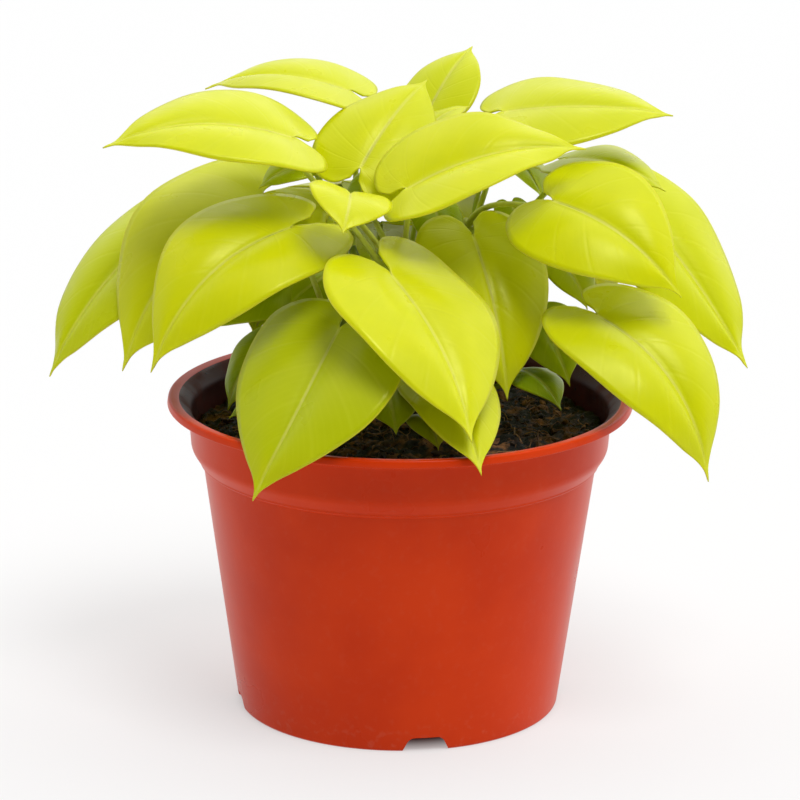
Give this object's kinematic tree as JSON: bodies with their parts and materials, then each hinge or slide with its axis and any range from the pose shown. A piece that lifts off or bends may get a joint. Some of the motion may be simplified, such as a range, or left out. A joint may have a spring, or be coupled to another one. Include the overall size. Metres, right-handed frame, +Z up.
{
  "type": "potted philodendron",
  "caption": "Bushy lime-leaved heart-leaf philodendron with short vines, planted in potting mix in a tapered terracotta-coloured plastic nursery pot.",
  "frame": {"origin": "centre of the pot's foot, on the surface that the pot stands on", "axes": "+Z up, -Y towards the front of the plant as it is shown, +X to its right"},
  "size_m": [0.2264, 0.1595, 0.2053],
  "materials": {
    "pot": "satin",
    "potting_mix": "matte",
    "stem": "satin",
    "leaf": "satin"
  },
  "bodies": {
    "root": {"pot": "pot", "potting_mix": "potting_mix", "stem_1": "stem", "stem_2": "stem", "stem_3": "stem", "stem_4": "stem", "stem_5": "stem", "leaf_01": "leaf", "leaf_02": "leaf", "leaf_03": "leaf", "leaf_04": "leaf", "leaf_05": "leaf", "leaf_06": "leaf", "leaf_07": "leaf", "leaf_08": "leaf", "leaf_09": "leaf", "leaf_10": "leaf", "leaf_11": "leaf", "leaf_12": "leaf", "leaf_13": "leaf", "leaf_14": "leaf", "leaf_15": "leaf", "leaf_16": "leaf", "leaf_17": "leaf", "leaf_18": "leaf", "leaf_19": "leaf", "leaf_20": "leaf", "leaf_21": "leaf", "leaf_22": "leaf", "leaf_23": "leaf", "leaf_24": "leaf", "leaf_25": "leaf", "leaf_26": "leaf", "leaf_27": "leaf", "leaf_28": "leaf", "leaf_29": "leaf", "leaf_30": "leaf", "leaf_31": "leaf", "leaf_32": "leaf", "leaf_33": "leaf", "leaf_34": "leaf", "leaf_35": "leaf", "leaf_36": "leaf", "leaf_37": "leaf", "leaf_38": "leaf", "leaf_39": "leaf", "leaf_40": "leaf", "leaf_41": "leaf", "leaf_42": "leaf"}
  },
  "joints": []
}
